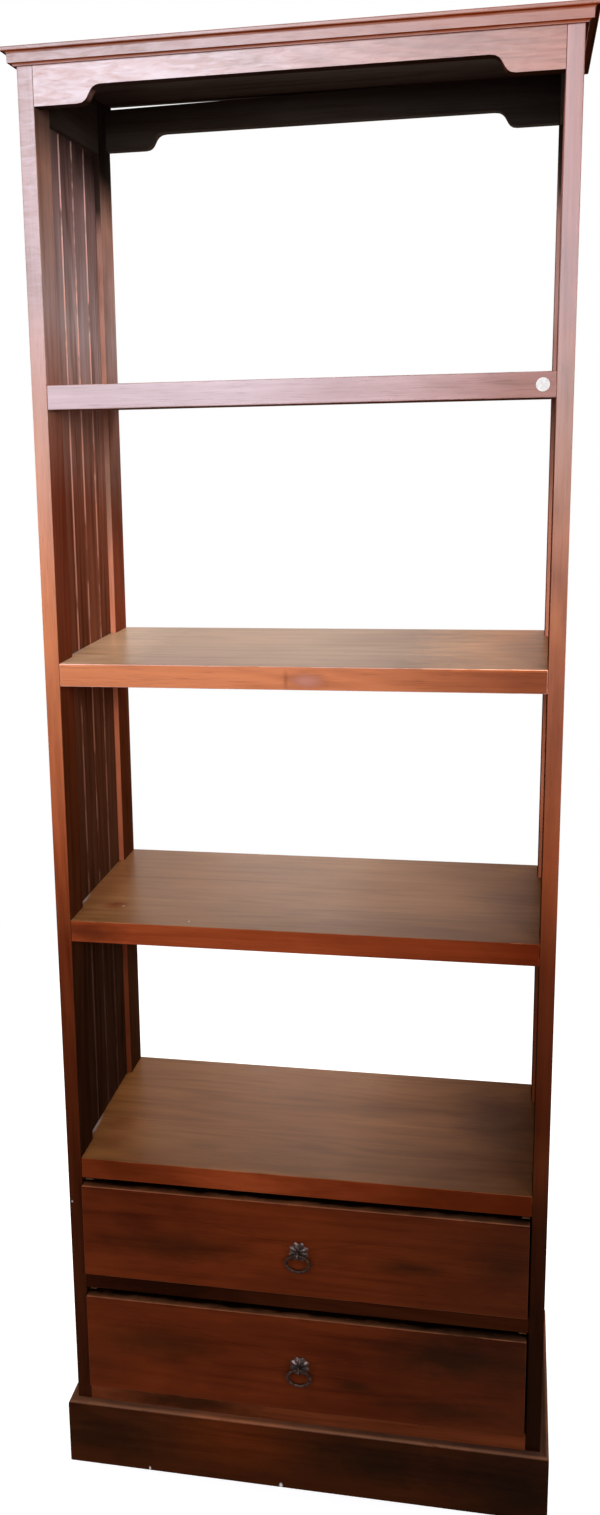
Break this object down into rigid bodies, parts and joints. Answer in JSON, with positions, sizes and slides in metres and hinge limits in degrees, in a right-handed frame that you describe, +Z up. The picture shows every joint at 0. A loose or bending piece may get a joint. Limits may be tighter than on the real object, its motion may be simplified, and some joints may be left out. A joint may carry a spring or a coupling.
{
  "type": "bookcase with drawers",
  "caption": "Tall narrow open bookcase with full-depth shelves, boarded sides, bracketed aprons, a stepped cornice and ring-pull drawers over a plinth.",
  "frame": {"origin": "middle of the overall box's base, on the floor", "axes": "+Z up, +Y from the front to the back, +X to the viewer's right when facing the front"},
  "size_m": [0.692, 0.3702, 1.931],
  "materials": {
    "frame_wood": "reddish brown stain under satin lacquer",
    "shelf_wood": "reddish brown stain under satin lacquer",
    "drawer_wood": "dark red brown stain under satin lacquer",
    "plinth_wood": "dark red brown stain under satin lacquer",
    "plain_wood": "bare, planed",
    "dark_metal": "dark, burnished on the high spots",
    "sticker_white": "matt"
  },
  "bodies": {
    "frame": {"post_front_left": "frame_wood", "post_front_right": "frame_wood", "post_rear_left": "frame_wood", "post_rear_right": "frame_wood", "side_rail_bottom_left": "frame_wood", "side_rail_bottom_right": "frame_wood", "side_rail_top_left": "frame_wood", "side_rail_top_right": "frame_wood", "side_board_left_1": "frame_wood", "side_board_left_2": "frame_wood", "side_board_left_3": "frame_wood", "side_board_left_4": "frame_wood", "side_board_right_1": "frame_wood", "side_board_right_2": "frame_wood", "side_board_right_3": "frame_wood", "side_board_right_4": "frame_wood", "shelf_1": "shelf_wood", "shelf_2": "shelf_wood", "shelf_3": "shelf_wood", "shelf_4": "shelf_wood", "apron_front": "frame_wood", "apron_rear": "frame_wood", "top_panel": "frame_wood", "cornice_front": "frame_wood", "cornice_left": "frame_wood", "cornice_right": "frame_wood", "plinth_front": "plinth_wood", "plinth_left": "plinth_wood", "plinth_right": "plinth_wood", "drawer_rail": "frame_wood", "bottom_rail": "frame_wood", "rear_drawer_rail": "frame_wood", "rear_bottom_rail": "frame_wood", "back_panel": "plain_wood", "runner_upper_left": "plain_wood", "runner_upper_right": "plain_wood", "runner_lower_left": "plain_wood", "runner_lower_right": "plain_wood", "shelf_sticker": "sticker_white"},
    "drawer_1": {"drawer_1_front": "drawer_wood", "drawer_1_side_left": "plain_wood", "drawer_1_side_right": "plain_wood", "drawer_1_back": "plain_wood", "drawer_1_bottom": "plain_wood", "pull_rosette_1": "dark_metal", "pull_eye_1": "dark_metal", "pull_nut_1": "dark_metal"},
    "drawer_2": {"drawer_2_front": "drawer_wood", "drawer_2_side_left": "plain_wood", "drawer_2_side_right": "plain_wood", "drawer_2_back": "plain_wood", "drawer_2_bottom": "plain_wood", "pull_rosette_2": "dark_metal", "pull_eye_2": "dark_metal", "pull_nut_2": "dark_metal"},
    "ring_1": {"pull_ring_1": "dark_metal"},
    "ring_2": {"pull_ring_2": "dark_metal"}
  },
  "joints": [
    {"name": "drawer_1_slide", "type": "slide", "parent": "frame", "child": "drawer_1", "axis": [0, -1, 0], "range_m": [0, 0.24]},
    {"name": "drawer_2_slide", "type": "slide", "parent": "frame", "child": "drawer_2", "axis": [0, -1, 0], "range_m": [0, 0.24]},
    {"name": "ring_1_hinge", "type": "hinge", "parent": "drawer_1", "child": "ring_1", "pos_m": [0, -0.17893, 0.3785], "axis": [-1, 0, 0], "range_deg": [-22, 202]},
    {"name": "ring_2_hinge", "type": "hinge", "parent": "drawer_2", "child": "ring_2", "pos_m": [0, -0.17893, 0.2015], "axis": [-1, 0, 0], "range_deg": [-22, 202]}
  ]
}
